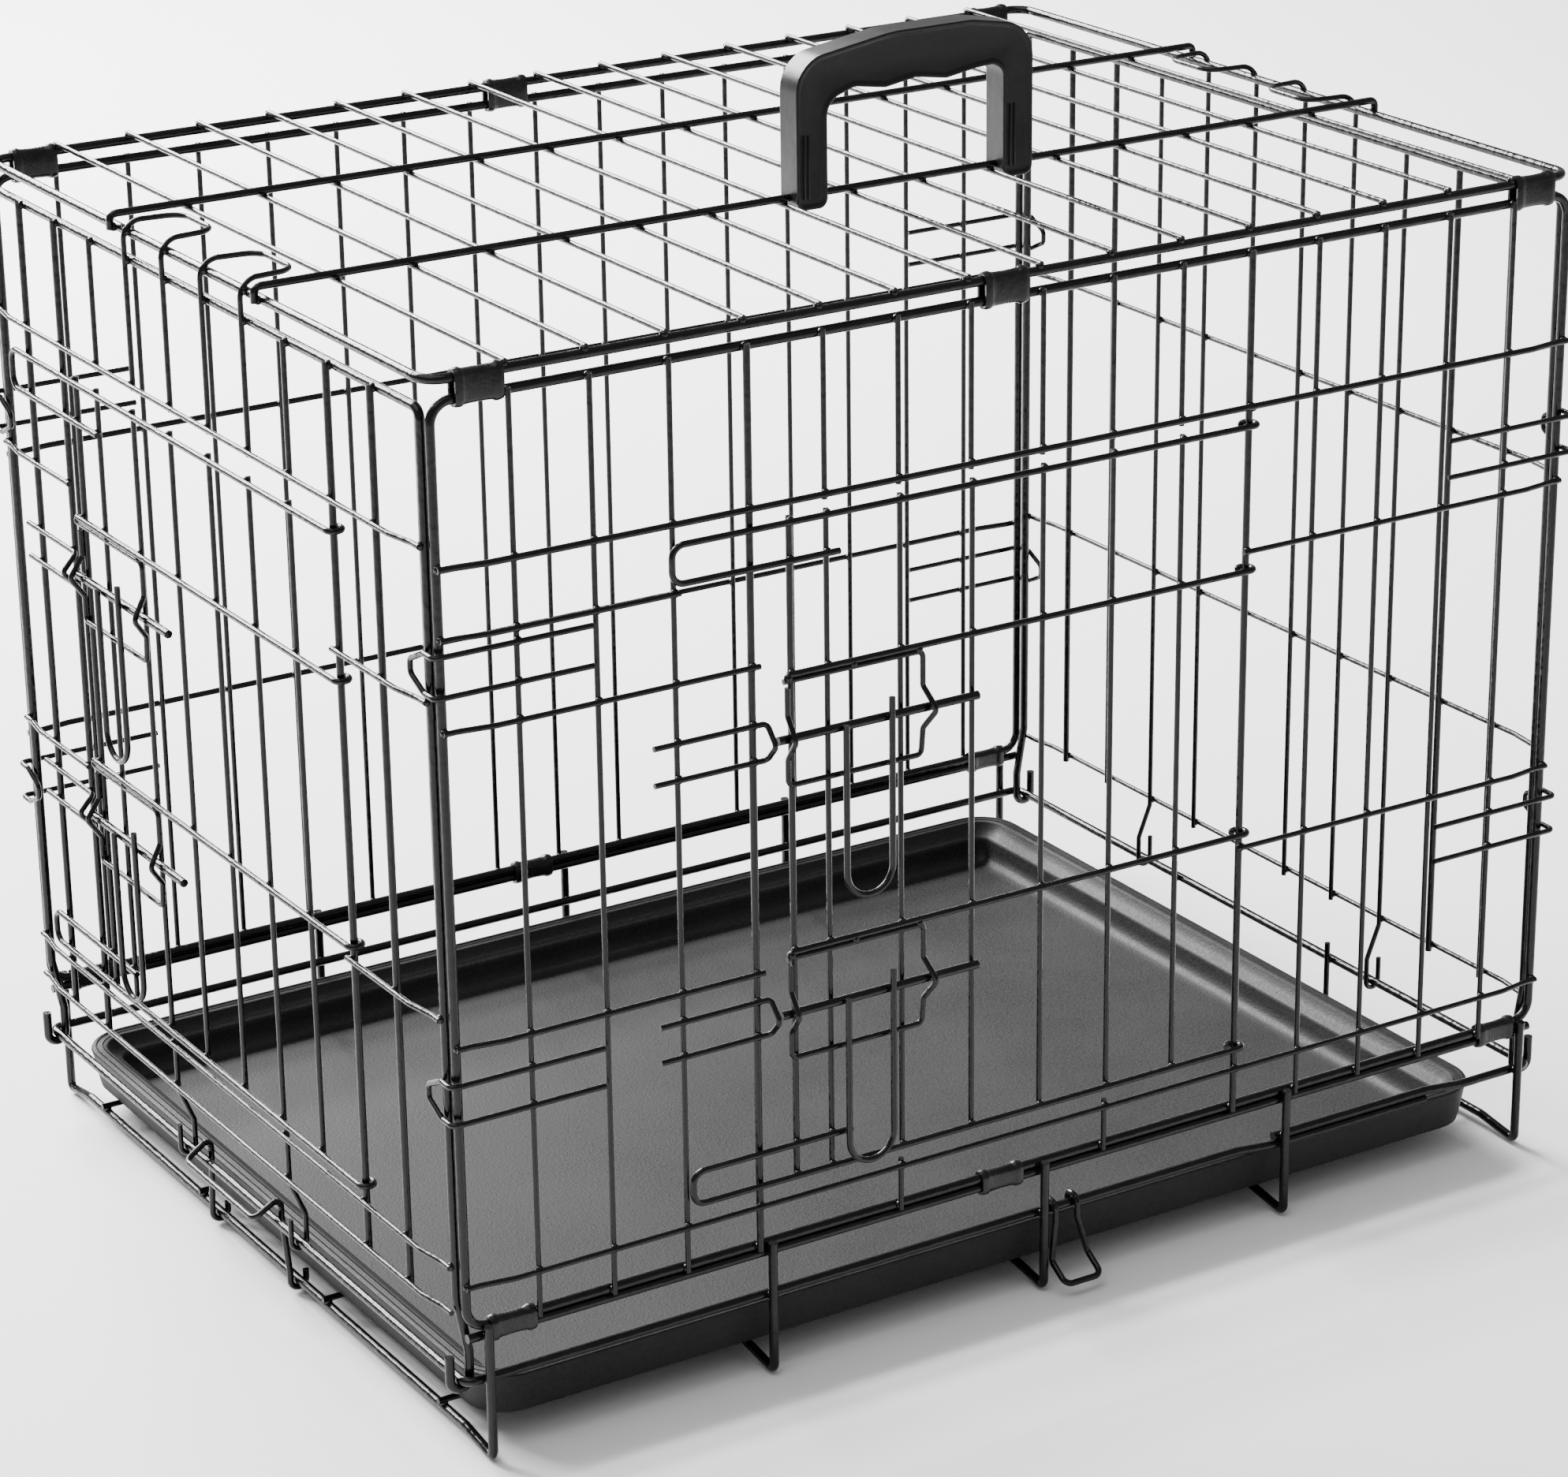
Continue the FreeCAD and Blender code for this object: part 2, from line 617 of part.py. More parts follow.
# ---------------------------------------------------------------- tray latch
latch_r = R_LONG
leg_w = -(R_FRAME + latch_r + 0.3)
wire_w = -(END_PLANE - FOOT_HALF_X)
reach = R_FRAME + LOOSE + latch_r
crest_z = RIM_Z + R_FRAME + latch_r + 7.0


def latch_leg(u_low, u_high):
    low = RUN_Z - reach
    leg = [(u_low, wire_w - reach, RUN_Z + 4.0), (u_low, wire_w - reach, low)]
    leg += [(u_low, wire_w + reach, low), (u_low, wire_w + reach, RUN_Z + 4.0)]
    leg += [(u_high, leg_w, RIM_Z), (u_high, leg_w, crest_z)]
    return leg


bail_w, bail_z = 10.0, RIM_Z + 2.0
path = latch_leg(-50.0, -43.0) + [(-42.0, bail_w, bail_z), (33.0, bail_w, bail_z)]
path += latch_leg(36.0, 34.0)[::-1]
save("tray_latch", [bent([left(*p) for p in path], latch_r, reach - 0.02)])

# ---------------------------------------------------------------- drop hook on the front rail
hook_r = R_LONG
ring = R_FRAME + LOOSE + hook_r


def drop_leg(u, u_low):
    leg = [(u, -ring, RIM_Z - 1.0), (u, -ring, RIM_Z + ring), (u, ring, RIM_Z + ring)]
    leg += [(u, ring, RIM_Z - 6.0), (u_low, ring, 14.0), (u_low, ring + 12.0, 6.5)]
    return leg


path = drop_leg(10.5, 8.5) + drop_leg(23.0, 29.0)[::-1]
save("front_drop_hook", [bent([front(*p) for p in path], hook_r, ring - 0.02)])

# ---------------------------------------------------------------- carry handle
pivot_z = TOP_LONG_Z
y_grip = -TOP_LONG_Y


def arch(inset, low_z, finger):
    """The closed outline of the strap, inset from its outer edge."""
    left_x, right_x = GRIP_LEFT_X + inset, GRIP_RIGHT_X - inset
    top = GRIP_TOP_Z - inset
    outer = [V(left_x, 0, low_z), V(left_x - 1.0, 0, top - 16), V(left_x + 14, 0, top - 4)]
    outer += [V(left_x + 50, 0, top), V(right_x - 30, 0, top), V(right_x - 6, 0, top - 4)]
    outer += [V(right_x, 0, top - 20), V(right_x, 0, low_z)]
    depth = GRIP_LEG - inset if finger else GRIP_FLANGE_WALL
    left_in, right_in = left_x + depth, right_x - depth
    under = top - depth
    inner = [V(right_in, 0, low_z), V(right_in, 0, under - 10)]
    if finger:
        step = (right_in - left_in - 20) / 6.0
        for i in range(7):
            drop = 3.0 if i % 2 else 0.0
            inner.append(V(right_in - 10 - i * step, 0, under - 2.0 - drop))
    else:
        inner += [V(right_in - 5, 0, under - 4), V(right_in - 29, 0, under)]
        inner += [V(left_in + 49, 0, under), V(left_in + 13, 0, under - 4)]
    inner.append(V(left_in, 0, under - 12))
    inner.append(V(left_in, 0, low_z))
    return outer + inner


def strap(inset, low_z, thick, finger):
    """The outline split at its open ends: out along the top, back underneath."""
    points = arch(inset, low_z, finger)
    half = 8
    outer, inner = points[:half], points[half:]
    edges = bent_edges(outer, 12.0)
    edges.append(Part.LineSegment(outer[-1], inner[0]).toShape())
    edges += bent_edges(inner, 5.0 if finger else 11.0)
    edges.append(Part.LineSegment(inner[-1], outer[0]).toShape())
    face = Part.Face(Part.Wire(edges))
    solid = face.extrude(V(0, thick, 0))
    solid.translate(V(0, y_grip - thick / 2, 0))
    return solid


handle = strap(0.0, pivot_z, GRIP_WEB, True)
handle = handle.fuse(strap(0.0, pivot_z + 10.0, GRIP_FLANGE, False))
for x0, x1 in ((GRIP_LEFT_X, GRIP_LEFT_X + GRIP_LEG), (GRIP_RIGHT_X - GRIP_LEG, GRIP_RIGHT_X)):
    eye = Part.makeCylinder(GRIP_EYE_R, x1 - x0, V(x0, y_grip, pivot_z), V(1, 0, 0))
    handle = handle.fuse(eye)
bore_r = R_TOP_LONG + 0.3
span = GRIP_RIGHT_X - GRIP_LEFT_X + 20
bore = Part.makeCylinder(bore_r, span, V(GRIP_LEFT_X - 10, y_grip, pivot_z), V(1, 0, 0))
handle = handle.cut(bore).removeSplitter()
save("carry_handle", [handle.Solids[0]])
print("  handle pivot", y_grip, pivot_z, "solids", len(handle.Solids))
print("  rim", -HALF_W, RIM_Z, "end plane", END_PLANE, "layers", LAYER_1, LAYER_2, DOOR_LAYER)
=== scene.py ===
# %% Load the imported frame
import json
import math

import bmesh
import bpy
from mathutils import Matrix, Vector
from mathutils.bvhtree import BVHTree

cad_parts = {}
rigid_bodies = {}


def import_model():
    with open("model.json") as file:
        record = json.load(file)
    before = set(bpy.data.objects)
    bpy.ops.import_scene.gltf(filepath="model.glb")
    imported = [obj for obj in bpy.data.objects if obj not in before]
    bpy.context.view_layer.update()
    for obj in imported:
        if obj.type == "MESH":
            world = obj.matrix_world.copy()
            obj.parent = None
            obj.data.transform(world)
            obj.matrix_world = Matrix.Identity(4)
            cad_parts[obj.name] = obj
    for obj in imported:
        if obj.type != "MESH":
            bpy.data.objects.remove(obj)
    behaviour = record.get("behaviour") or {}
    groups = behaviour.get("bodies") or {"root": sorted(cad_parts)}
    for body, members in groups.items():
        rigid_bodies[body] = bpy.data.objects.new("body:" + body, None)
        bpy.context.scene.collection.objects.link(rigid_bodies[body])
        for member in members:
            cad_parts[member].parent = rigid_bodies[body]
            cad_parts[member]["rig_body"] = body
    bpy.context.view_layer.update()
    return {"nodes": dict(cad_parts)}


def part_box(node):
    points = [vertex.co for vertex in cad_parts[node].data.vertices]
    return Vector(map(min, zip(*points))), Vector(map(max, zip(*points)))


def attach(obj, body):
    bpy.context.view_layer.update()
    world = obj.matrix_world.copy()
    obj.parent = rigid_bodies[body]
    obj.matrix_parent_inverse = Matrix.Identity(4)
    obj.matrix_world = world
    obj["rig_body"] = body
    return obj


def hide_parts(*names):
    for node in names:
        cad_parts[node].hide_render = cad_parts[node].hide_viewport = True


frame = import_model()
nodes = frame["nodes"]

# %% [markdown]
# # A wire dog crate, from its CAD frame to a finished picture
#
# The frame holds every wire, clip, bolt, the tray and the handle at its true size and place.
# What it lacks is what a hand and an eye know the crate by: the coating on the wire, the small
# beads of metal where two wires are welded, the squeezed sheet of the hinge clips, the moulded
# tray and the moulded handle. Each cell below adds one of these. Lengths are in metres.

# %% Shared sizes
MM = 0.001

# %% [markdown]
# ## Camera
#
# The crate is seen from the front left, a little from above, with a long lens. A long lens keeps
# the wires nearly parallel, which a wire crate needs: a wide one would make the near corner lean.
# The camera's axes are worked out from its bearing, its height angle and a small roll, and they
# go into the object's matrix as they are, so no constraint or target is needed.

# %% Camera
CAMERA_PLACE = (-1.129, -1.8432, 1.0353)
CAMERA_BEARING = -0.55146
CAMERA_HEIGHT_ANGLE = 0.36555
CAMERA_ROLL = -0.01329
LENS_MM = 106.7


def look(bearing, height_angle, roll):
    """The camera's turn as a matrix: bearing 0 looks along +Y, negative from the left."""
    back = Vector((math.sin(bearing) * math.cos(height_angle),
                   -math.cos(bearing) * math.cos(height_angle), math.sin(height_angle)))
    right = (-back).cross(Vector((0, 0, 1))).normalized()
    up = back.cross(right)
    turned_right = right * math.cos(roll) + up * math.sin(roll)
    turned_up = up * math.cos(roll) - right * math.sin(roll)
    return Matrix((turned_right, turned_up, back)).transposed().to_4x4()


lens = bpy.data.cameras.new("Camera")
lens.lens = LENS_MM
lens.sensor_width = 36.0
lens.clip_end = 50.0
camera = bpy.data.objects.new("Camera", lens)
bpy.context.scene.collection.objects.link(camera)
camera.matrix_world = (Matrix.Translation(CAMERA_PLACE)
                       @ look(CAMERA_BEARING, CAMERA_HEIGHT_ANGLE, CAMERA_ROLL))
bpy.context.scene.camera = camera
print("camera at", [round(v, 3) for v in camera.location], "lens", lens.lens)

# %% [markdown]
# ## Small tools for shader maths
#
# A finish is a handful of patterns added and multiplied together. Writing each Math node by hand
# hides the sum behind its wiring, so one small class stands for a socket and lets Python's own
# signs build the nodes. Every other node comes from one method, which takes the node's type, its
# settings, and what goes into its sockets.

# %% Shader tools
class Signal:
    """One output socket. Adding or multiplying it makes a Math node."""

    def __init__(self, finish, socket):
        self.finish = finish
        self.socket = socket

    def _math(self, operation, first, second):
        return self.finish.node("ShaderNodeMath", {"operation": operation},
                                {0: first, 1: second})

    def __add__(self, other):
        return self._math("ADD", self, other)

    __radd__ = __add__

    def __mul__(self, other):
        return self._math("MULTIPLY", self, other)

    __rmul__ = __mul__

    def __sub__(self, other):
        return self._math("SUBTRACT", self, other)

    def __rsub__(self, other):
        return self._math("SUBTRACT", other, self)


class Finish:
    """A material that is being wired up."""

    def __init__(self, name, **constants):
        self.material = bpy.data.materials.new(name)
        self.material.use_nodes = True
        self.tree = self.material.node_tree
        self.shader = self.tree.nodes["Principled BSDF"]
        for socket, value in constants.items():
            self.shader.inputs[socket.replace("_", " ")].default_value = value
        self.place = self.node("ShaderNodeTexCoord", out="Object")

    def node(self, kind, settings=None, inputs=None, out=0):
        """A new node: settings first, then the values or links of its sockets."""
        made = self.tree.nodes.new(kind)
        for name, value in (settings or {}).items():
            if name == "stops":
                self._stops(made.color_ramp, value)
            else:
                setattr(made, name, value)
        for key, value in (inputs or {}).items():
            self.feed(made.inputs[key], value)
        return Signal(self, made.outputs[out])

    def _stops(self, ramp, stops):
        while len(ramp.elements) < len(stops):
            ramp.elements.new(1.0)
        for element, (position, colour) in zip(ramp.elements, stops):
            element.position = position
            element.color = (*colour, 1.0)

    def feed(self, socket, value):
        if isinstance(value, Signal):
            self.tree.links.new(value.socket, socket)
        else:
            socket.default_value = value

    def noise(self, size, detail=2.0, roughness=0.5):
        """Cloudy noise whose patches are about this many metres across."""
        return self.node("ShaderNodeTexNoise", None,
                         {"Vector": self.place, "Scale": 1.0 / size, "Detail": detail,
                          "Roughness": roughness})

    def ramp(self, signal, *stops):
        return self.node("ShaderNodeValToRGB", {"stops": stops}, {0: signal})

    def bump(self, height, depth, under=None):
        """A Bump node of this depth in metres, over another one if given."""
        inputs = {"Height": height, "Distance": depth, "Strength": 1.0}
        if under is not None:
            inputs["Normal"] = under
        return self.node("ShaderNodeBump", None, inputs)

    def wear(self, **fields):
        """Feed the shader's sockets by name, and hand the material back."""
        for socket, value in fields.items():
            self.feed(self.shader.inputs[socket.replace("_", " ")], value)
        print("finish", self.material.name, "nodes", len(self.tree.nodes))
        return self.material


# %% [markdown]
# ## The coating on the wire
#
# The steel wire is dipped and baked in a black coating. It is nearly gloss, but never even: it
# pulls into faint ripples along the wire, holds fine pits like orange peel, and is duller where
# it has been handled. The ripples and the pits are two bumps of very different size, one laid
# over the other, and the dull patches are a slow noise in the roughness.

# %% Coated wire
def coated_wire():
    f = Finish("coated_wire", Specular_IOR_Level=0.26)
    patches = f.noise(14 * MM, 3.0, 0.6)
    ripples = f.noise(5 * MM, 1.0)
    pits = f.noise(0.9 * MM, 2.0, 0.6)
    colour = f.ramp(patches, (0.30, (0.0026, 0.0026, 0.0028)), (0.55, (0.0042, 0.0042, 0.0044)),
                    (0.75, (0.0080, 0.0080, 0.0083)))
    skin = f.bump(pits, 0.05 * MM, f.bump(ripples, 0.45 * MM))
    return f.wear(Base_Color=colour, Roughness=0.11 + 0.14 * patches, Normal=skin)


wire_finish = coated_wire()

# %% [markdown]
# ## The clips' sheet
#
# The hinge clips are folded from thin sheet and squeezed round the rails before they are coated.
# The tool leaves fine lines round each clip and the coating lies thinner on its edges, so this
# finish has drawn lines across X, which the wire hasn't.

# %% Clip sheet
def clip_sheet():
    f = Finish("clip_sheet", Specular_IOR_Level=0.30)
    lines = f.node("ShaderNodeTexWave", {"wave_type": "BANDS", "bands_direction": "X"},
                   {"Vector": f.place, "Scale": 180.0, "Distortion": 3.0, "Detail": 2.0})
    patches = f.noise(6 * MM, 3.0, 0.6)
    colour = f.ramp(patches, (0.30, (0.003, 0.003, 0.0032)), (0.75, (0.010, 0.010, 0.0105)))
    skin = f.bump(patches, 0.35 * MM, f.bump(lines, 0.03 * MM))
    return f.wear(Base_Color=colour, Roughness=0.20 + 0.16 * patches, Normal=skin)


clip_finish = clip_sheet()

# %% [markdown]
# ## The tray's plastic
#
# The tray is moulded in black plastic with a stipple, so that it doesn't show scratches. Each dot
# is under a millimetre, and the dots catch the light one by one, which turns the floor a sparkling
# grey at a low angle. A cell pattern makes the dots, a finer noise speckles them, a slow noise rubs
# some areas smoother, and a few fine scuffs run along the crate where paws and a cloth go.

# %% Tray plastic
def tray_plastic():
    f = Finish("tray_plastic", Specular_IOR_Level=0.26)
    dots = f.node("ShaderNodeTexVoronoi", {"feature": "SMOOTH_F1"},
                  {"Vector": f.place, "Scale": 1 / (1.3 * MM), "Smoothness": 0.6})
    grit = f.noise(0.7 * MM, 2.0, 0.7)
    worn = f.noise(70 * MM, 4.0, 0.6)
    along = f.node("ShaderNodeMapping", None, {"Vector": f.place, "Scale": (0.10, 1.0, 1.0)})
    scuffs = f.node("ShaderNodeTexNoise", None, {"Vector": along, "Scale": 650.0, "Detail": 3.0})
    marks = f.ramp(scuffs, (0.62, (0.0, 0.0, 0.0)), (0.74, (1.0, 1.0, 1.0)))
    speckle = f.noise(1.7 * MM, 2.0, 0.6)
    colour = f.ramp(0.45 * worn + 0.55 * speckle, (0.36, (0.0030, 0.0030, 0.0031)),
                    (0.64, (0.0150, 0.0150, 0.0154)))
    skin = f.bump(grit, 0.06 * MM, f.bump(dots, 0.08 * MM))
    rough = 0.36 + 0.16 * worn + 0.26 * speckle + 0.05 * marks
    return f.wear(Base_Color=colour, Roughness=rough, Normal=skin)


tray_finish = tray_plastic()

# %% [markdown]
# ## The handle's plastic
#
# The carrying handle is moulded in a satin plastic, smoother than the tray because fingers hold
# it. It has a very fine grain and slow flow marks, and its roughness changes a little over it.

# %% Handle plastic
def handle_plastic():
    f = Finish("handle_plastic", Specular_IOR_Level=0.28)
    grain = f.noise(0.6 * MM, 2.0, 0.6)
    flow = f.noise(22 * MM, 3.0, 0.55)
    colour = f.ramp(flow, (0.30, (0.0030, 0.0030, 0.0032)), (0.75, (0.0062, 0.0062, 0.0065)))
    skin = f.bump(grain, 0.05 * MM, f.bump(flow, 0.5 * MM))
    return f.wear(Base_Color=colour, Roughness=0.30 + 0.14 * flow, Normal=skin)


handle_finish = handle_plastic()

# %% [markdown]
# ## Finishes on the CAD parts
#
# Most parts are wire and keep their CAD shape, so they only take the wire finish. The clips, the
# tray and the handle are swapped for better shapes further down, and get their finish here too,
# so that nothing is ever left plain.

# %% Dress the CAD parts
OTHER_FINISHES = {"tray": tray_finish, "carry_handle": handle_finish}
for name, part in nodes.items():
    finish = OTHER_FINISHES.get(name, clip_finish if name.endswith("clips") else wire_finish)
    part.data.materials.clear()
    part.data.materials.append(finish)
print("dressed", len(nodes), "parts")

# %% [markdown]
# ## Tools for new pieces
#
# Every new piece is a mesh whose points are already where they belong, with its object at the
# origin, because the patterns read object coordinates. `finish_piece` turns the faces outwards,
# rounds the shading, names the piece, ties it to its body and hides the CAD parts it stands for.

# %% Piece tools
def finish_piece(name, bm, body, material, stands_for=(), sharp=40.0):
    bmesh.ops.recalc_face_normals(bm, faces=bm.faces)
    mesh = bpy.data.meshes.new(name)
    bm.to_mesh(mesh)
    bm.free()
    mesh.materials.append(material)
    mesh.polygons.foreach_set("use_smooth", [True] * len(mesh.polygons))
    mesh.set_sharp_from_angle(angle=math.radians(sharp))
    piece = bpy.data.objects.new(name, mesh)
    bpy.context.scene.collection.objects.link(piece)
    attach(piece, body)
    if stands_for:
        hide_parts(*stands_for)
    print("piece", name, "faces", len(mesh.polygons))
    return piece


def bridge(bm, rings):
    """Join rings of edges, one to the next."""
    for first, second in zip(rings, rings[1:]):
        bmesh.ops.bridge_loops(bm, edges=first + second)


def ring_edges(verts):
    return list({edge for vert in verts for edge in vert.link_edges})


# %% [markdown]
# ## Weld beads
#
# Where two wires cross they are pressed and melted together, and the coating fills the corner, so
# each crossing shows a small soft lump, and not two clean cylinders. There are several hundred, so
# each bead is a ball of a few dozen faces. Their places needn't be listed: the CAD wires bite into
# each other a little where they are welded, so a search for crossing faces finds every one.

# %% Find the welds
WELD_R = 2.15 * MM
SAME_WELD = 3.0 * MM


def face_box(mesh, face):
    corners = [mesh.vertices[i].co for i in mesh.polygons[face].vertices]
    low = Vector([min(c[axis] for c in corners) for axis in range(3)])
    high = Vector([max(c[axis] for c in corners) for axis in range(3)])
    return low, high


def crossings(first, second, trees):
    """The places where two parts' wires bite into each other."""
    found = []
    a_mesh, b_mesh = nodes[first].data, nodes[second].data
    for a_face, b_face in trees[first].overlap(trees[second]):
        a_low, a_high = face_box(a_mesh, a_face)
        b_low, b_high = face_box(b_mesh, b_face)
        shared_low = Vector([max(a, b) for a, b in zip(a_low, b_low)])
        shared_high = Vector([min(a, b) for a, b in zip(a_high, b_high)])
        found.append((shared_low + shared_high) / 2)
    groups = []
    for place in found:
        for group in groups:
            if (group[0] - place).length < SAME_WELD:
                group.append(place)
                break
        else:
            groups.append([place])
    return [sum(group, Vector()) / len(group) for group in groups]


def body_welds(body):
    """All welds between the wire parts of one body."""
    names = [n for n, part in nodes.items() if part["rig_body"] == body
             and n not in OTHER_FINISHES and not n.endswith("clips")]
    trees = {}
    for n in names:
        mesh = nodes[n].data
        trees[n] = BVHTree.FromPolygons([v.co for v in mesh.vertices],
                                        [p.vertices for p in mesh.polygons])
    places = []
    for i, first in enumerate(names):
        for second in names[i + 1:]:
            places += crossings(first, second, trees)
    return places


# %% Weld beads
def beads(name, body, radius):
    bm = bmesh.new()
    places = body_welds(body)
    for place in places:
        bmesh.ops.create_uvsphere(bm, u_segments=8, v_segments=5, radius=radius,
                                  matrix=Matrix.Translation(place))
    print(name, "welds", len(places))
    return finish_piece(name, bm, body, wire_finish, sharp=80.0)


beads("cage_weld_beads", "cage", WELD_R)
beads("front_door_weld_beads", "front_door", WELD_R)
beads("end_door_weld_beads", "end_door", WELD_R)

# %% [markdown]
# ## Hinge clips
#
# A clip is a strip of sheet wrapped round two rails and crimped. The crimping tool leaves a raised
# band near each end and draws the middle in. A sweep of one outline would miss that, so the clip
# is a row of rings along X, each a circle pulled apart into a stadium, at its own size. The rings
# are bridged outside, and one more pair goes back inside, so that the open ends show real sheet.

# %% Clips
SHEET = 0.9 * MM
CRIMP = ((-11.4, 0.25), (-10.6, 0.55), (-9.2, 0.75), (-8.0, 0.70), (-7.2, 0.15), (-5.5, -0.10),
         (-3.0, -0.20), (0.0, -0.30), (3.0, -0.20), (5.5, -0.10), (7.2, 0.15), (8.0, 0.70),
         (9.2, 0.75), (10.6, 0.55), (11.4, 0.25))


def stadium(bm, x, y, z, radius, pitch):
    """A ring round two rails that run along X."""
    turn = Matrix.Translation((x, y, z)) @ Matrix.Rotation(math.pi / 2, 4, "Y")
    made = bmesh.ops.create_circle(bm, segments=28, radius=radius, matrix=turn)["verts"]
    upper = [v for v in made if v.co.z > z]
    lower = [v for v in made if v.co.z <= z]
    bmesh.ops.translate(bm, verts=upper, vec=(0, 0, pitch / 2))
    bmesh.ops.translate(bm, verts=lower, vec=(0, 0, -pitch / 2))
    return ring_edges(made)


def crimped_clips(node):
    low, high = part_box(node)
    y, z = (low.y + high.y) / 2, (low.z + high.z) / 2
    radius = (high.y - low.y) / 2
    pitch = (high.z - low.z) - 2 * radius
    xs = sorted({round(v.co.x, 4) for v in nodes[node].data.vertices})
    starts = [x for i, x in enumerate(xs) if i == 0 or x - xs[i - 1] > 0.05]
    ends = [x for i, x in enumerate(xs) if i == len(xs) - 1 or xs[i + 1] - x > 0.05]
    bm = bmesh.new()
    for start, end in zip(starts, ends):
        middle = (start + end) / 2
        rings = [stadium(bm, middle + x * MM, y, z, radius + grow * MM, pitch)
                 for x, grow in CRIMP]
        reach = CRIMP[-1][0] * MM
        inner = (reach - 0.1 * MM, 0.1 * MM - reach)
        rings += [stadium(bm, middle + x, y, z, radius - SHEET, pitch) for x in inner]
        bridge(bm, rings + [rings[0]])
    return finish_piece("crimped_" + node, bm, "cage", clip_finish, [node], 60.0)


for clip_node in sorted(n for n in nodes if n.endswith("clips")):
    crimped_clips(clip_node)

# %% [markdown]
# ## The tray
#
# The tray is a shallow moulded pan. Its rim is a flat lip with two fine lines in it, and inside
# the lip the wall falls to a narrow ledge and then curves into the floor. An extruded box with a
# bevel can't make that section, so the pan is a stack of rounded rectangles, each with its own
# inset, height and corner. Neighbours are bridged, and the first and last are closed with a face.

# %% Tray
TRAY_CORNER = 24 * MM
TRAY_LEAST_CORNER = 4 * MM
TRAY_SECTION = (
    (10.0, 0.0), (6.0, 0.4), (4.2, 1.6), (3.4, 4.5), (1.2, 17.0), (0.3, 20.6), (0.0, 21.4),
    (0.5, 22.1), (1.3, 22.3), (2.3, 22.4), (2.5, 21.9), (3.0, 21.8), (3.2, 22.3), (5.6, 22.4),
    (5.8, 21.9), (6.3, 21.8), (6.5, 22.3), (7.4, 22.2), (8.2, 21.9), (8.8, 21.0), (10.2, 18.6),
    (12.5, 16.6), (15.0, 15.6), (15.9, 14.8), (16.3, 13.4), (17.0, 9.0), (18.2, 5.4),
    (20.2, 3.2), (23.0, 2.3), (26.5, 2.0))


def rounded_ring(bm, low, high, z, corner, segments=10):
    """A rectangle with round corners, flat at height z."""
    made = bmesh.ops.create_grid(bm, x_segments=1, y_segments=1, size=0.5)["verts"]
    bmesh.ops.scale(bm, verts=made, vec=(high.x - low.x, high.y - low.y, 1))
    bmesh.ops.translate(bm, verts=made, vec=((low.x + high.x) / 2, (low.y + high.y) / 2, z))
    bmesh.ops.delete(bm, geom=made[0].link_faces[:], context="FACES_ONLY")
    before = set(bm.edges) - set(ring_edges(made))
    bmesh.ops.bevel(bm, geom=made, offset=corner, offset_type="OFFSET", affect="VERTICES",
                    segments=segments, profile=0.5, material=-1)
    return [edge for edge in bm.edges if edge not in before]


def moulded_tray():
    low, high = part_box("tray")
    bm = bmesh.new()
    rings = []
    for inset, rise in TRAY_SECTION:
        step = Vector((inset * MM, inset * MM, 0))
        corner = max(TRAY_CORNER - inset * MM, TRAY_LEAST_CORNER)
        rings.append(rounded_ring(bm, low + step, high - step, low.z + rise * MM, corner))
    bridge(bm, rings)
    bmesh.ops.edgeloop_fill(bm, edges=rings[0])
    bmesh.ops.edgeloop_fill(bm, edges=rings[-1])
    bmesh.ops.remove_doubles(bm, verts=bm.verts, dist=0.01 * MM)
    return finish_piece("moulded_tray", bm, "tray", tray_finish, ["tray"], 35.0)


moulded_tray()

# %% [markdown]
# ## The carrying handle
#
# The handle is one moulding: a band that the hand closes round, with finger waves under it and
# two legs that the roof wire passes through. A section swept along a path would give it one
# thickness everywhere, and the waves need it to change. So its outline is drawn from a few
# corners, each corner is rounded by its own radius with a vertex bevel, and the filled outline is
# extruded to its width. The raised outer lip is an inset of the same face, pushed in a little.

# %% Handle outline
HANDLE_LEG = 16.5 * MM
HANDLE_BAND = 23.0 * MM


def handle_corners(low, high):
    """Corners of the outline in X and Z with their radii, outside first, then underneath."""
    leg, top, foot = HANDLE_LEG, high.z, low.z
    out_l, out_r = low.x, high.x
    in_l, in_r = out_l + leg, out_r - leg
    under = top - HANDLE_BAND
    corners = [(out_l, foot, 4.5), (out_l, top - 8 * MM, 17.0), (out_l + 52 * MM, top, 60.0),
               (out_r - 34 * MM, top, 26.0), (out_r, top - 6 * MM, 17.0), (out_r, foot, 4.5),
               (in_r, foot, 4.5), (in_r, under + 1 * MM, 11.0)]
    waves = 5
    step = (in_r - in_l - 30 * MM) / (waves - 1)
    for i in range(waves):
        dip = 2.6 * MM if i % 2 else 0.0
        corners.append((in_r - 15 * MM - i * step, under - dip, 6.0))
    corners += [(in_l, under - 5 * MM, 12.0), (in_l, foot, 4.5)]
    return corners


def rounded_outline(bm, corners, y):
    """A face in the XZ plane whose corners are rounded one by one."""
    verts = [bm.verts.new((x, y, z)) for x, z, _ in corners]
    face = bm.faces.new(verts)
    for vert, (_, _, radius) in zip(verts, corners):
        first, second = vert.link_edges
        a = (first.other_vert(vert).co - vert.co).normalized()
        b = (second.other_vert(vert).co - vert.co).normalized()
        reach = radius * MM / math.tan(a.angle(b) / 2)
        room = 0.48 * min(first.calc_length(), second.calc_length())
        bmesh.ops.bevel(bm, geom=[vert], offset=min(reach, room), offset_type="OFFSET",
                        affect="VERTICES", segments=7, profile=0.5, material=-1)
    return bm.faces[:]


# %% Handle
HANDLE_LIP = 1.6 * MM
HANDLE_DISH = 0.9 * MM


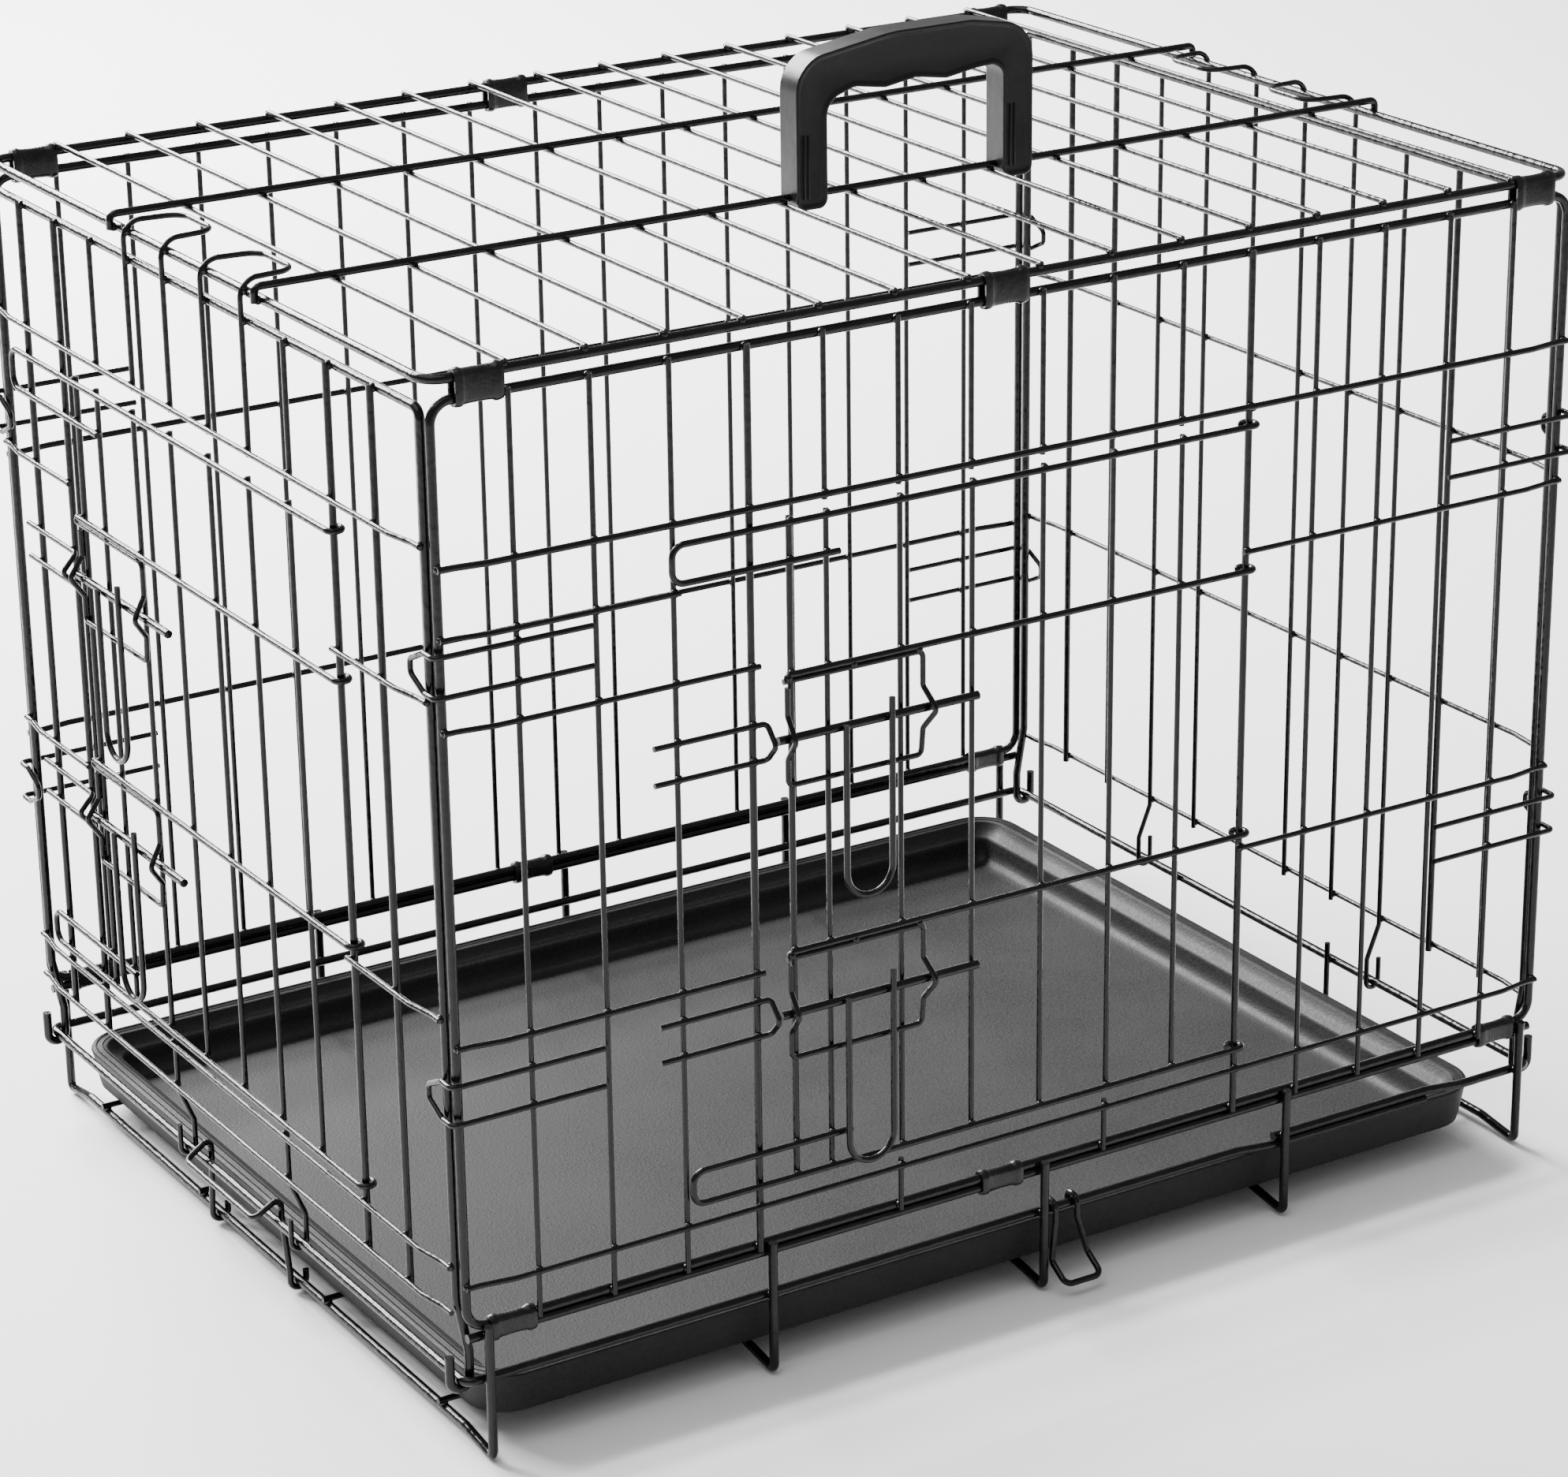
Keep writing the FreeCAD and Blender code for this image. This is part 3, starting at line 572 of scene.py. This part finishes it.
def moulded_handle():
    low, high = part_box("carry_handle")
    bm = bmesh.new()
    face = rounded_outline(bm, handle_corners(low, high), low.y)
    pushed = bmesh.ops.extrude_face_region(bm, geom=face)
    moved = [v for v in pushed["geom"] if isinstance(v, bmesh.types.BMVert)]
    bmesh.ops.translate(bm, verts=moved, vec=(0, high.y - low.y, 0))
    bmesh.ops.recalc_face_normals(bm, faces=bm.faces)
    sides = [f for f in bm.faces if abs(f.normal.y) > 0.9]
    bmesh.ops.inset_individual(bm, faces=sides, thickness=HANDLE_LIP, depth=0.0,
                               use_even_offset=True)
    sides = [f for f in bm.faces if abs(f.normal.y) > 0.9 and len(f.verts) > 8]
    bmesh.ops.inset_individual(bm, faces=sides, thickness=0.8 * MM, depth=-HANDLE_DISH,
                               use_even_offset=True)
    piece = finish_piece("moulded_handle", bm, "carry_handle", handle_finish,
                         ["carry_handle"], 50.0)
    rounding = piece.modifiers.new("rounded_edges", "BEVEL")
    rounding.width = 1.5 * MM
    rounding.segments = 3
    rounding.limit_method = "ANGLE"
    rounding.angle_limit = math.radians(40)
    return piece


moulded_handle()

# %% [markdown]
# ## Ribs on the handle's legs
#
# Two fine ribs stand on the outer half of each leg, where the moulding was strengthened over the
# roof wire. Each is a thin bar with its ends rounded, sunk into the dished face.

# %% Handle ribs
RIB_SIZE = (0.9 * MM, 1.4 * MM, 30 * MM)
RIB_ROUNDING = 0.35 * MM


def handle_ribs():
    low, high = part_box("carry_handle")
    bm = bmesh.new()
    for leg_x in (low.x, high.x - HANDLE_LEG):
        for across in (4.2 * MM, 6.6 * MM):
            for face_y in (low.y + HANDLE_DISH, high.y - HANDLE_DISH):
                made = bmesh.ops.create_cube(bm, size=1.0)["verts"]
                bmesh.ops.scale(bm, verts=made, vec=RIB_SIZE)
                bmesh.ops.translate(bm, verts=made,
                                    vec=(leg_x + across, face_y, low.z + 20 * MM))
    bmesh.ops.bevel(bm, geom=bm.edges[:], offset=RIB_ROUNDING, offset_type="OFFSET",
                    affect="EDGES", segments=2, profile=0.5, material=-1)
    return finish_piece("handle_ribs", bm, "carry_handle", handle_finish,
                        sharp=80.0)


handle_ribs()

# %% [markdown]
# ## Floor and light
#
# Black wire shows its shape only by what it reflects. A wide, soft panel behind the crate and a
# little to the left draws the long white streaks on the wires that run from front to back, while
# a dimmer one overhead keeps the floor pale. The panels are area lights, which are easy to place
# and don't show to the camera, and the floor is one large matt sheet.

# %% Floor
def pale_floor():
    bm = bmesh.new()
    bmesh.ops.create_grid(bm, x_segments=1, y_segments=1, size=7.0)
    mesh = bpy.data.meshes.new("floor")
    bm.to_mesh(mesh)
    bm.free()
    f = Finish("pale_floor", Roughness=0.9, Specular_IOR_Level=0.1)
    grain = f.noise(0.6, 2.0)
    mesh.materials.append(f.wear(Base_Color=f.ramp(grain, (0.3, (0.90, 0.90, 0.90)),
                                                   (0.7, (0.93, 0.93, 0.93)))))
    floor = bpy.data.objects.new("floor", mesh)
    bpy.context.scene.collection.objects.link(floor)
    floor.location.z = -0.0005


pale_floor()


# %% Lights
def panel(name, place, aim, width, height, power):
    """A soft panel that faces a point and doesn't show to the camera."""
    light = bpy.data.lights.new(name, "AREA")
    light.shape = "RECTANGLE"
    light.size, light.size_y = width, height
    light.energy = power
    lamp = bpy.data.objects.new(name, light)
    bpy.context.scene.collection.objects.link(lamp)
    facing = (Vector(aim) - Vector(place)).to_track_quat("-Z", "Y")
    lamp.matrix_world = Matrix.Translation(place) @ facing.to_matrix().to_4x4()
    lamp.visible_camera = False
    print("light", name, "power", power)


panel("back_panel", (-0.6, 3.2, 2.4), (0.0, 0.0, 0.4), 3.0, 1.7, 860.0)
panel("overhead_panel", (-1.2, 0.0, 3.4), (0.0, 0.3, 0.0), 3.0, 3.0, 60.0)

room = bpy.data.worlds.new("room")
room.use_nodes = True
room.node_tree.nodes["Background"].inputs["Color"].default_value = (1.0, 1.0, 1.0, 1.0)
room.node_tree.nodes["Background"].inputs["Strength"].default_value = 0.42
bpy.context.scene.world = room
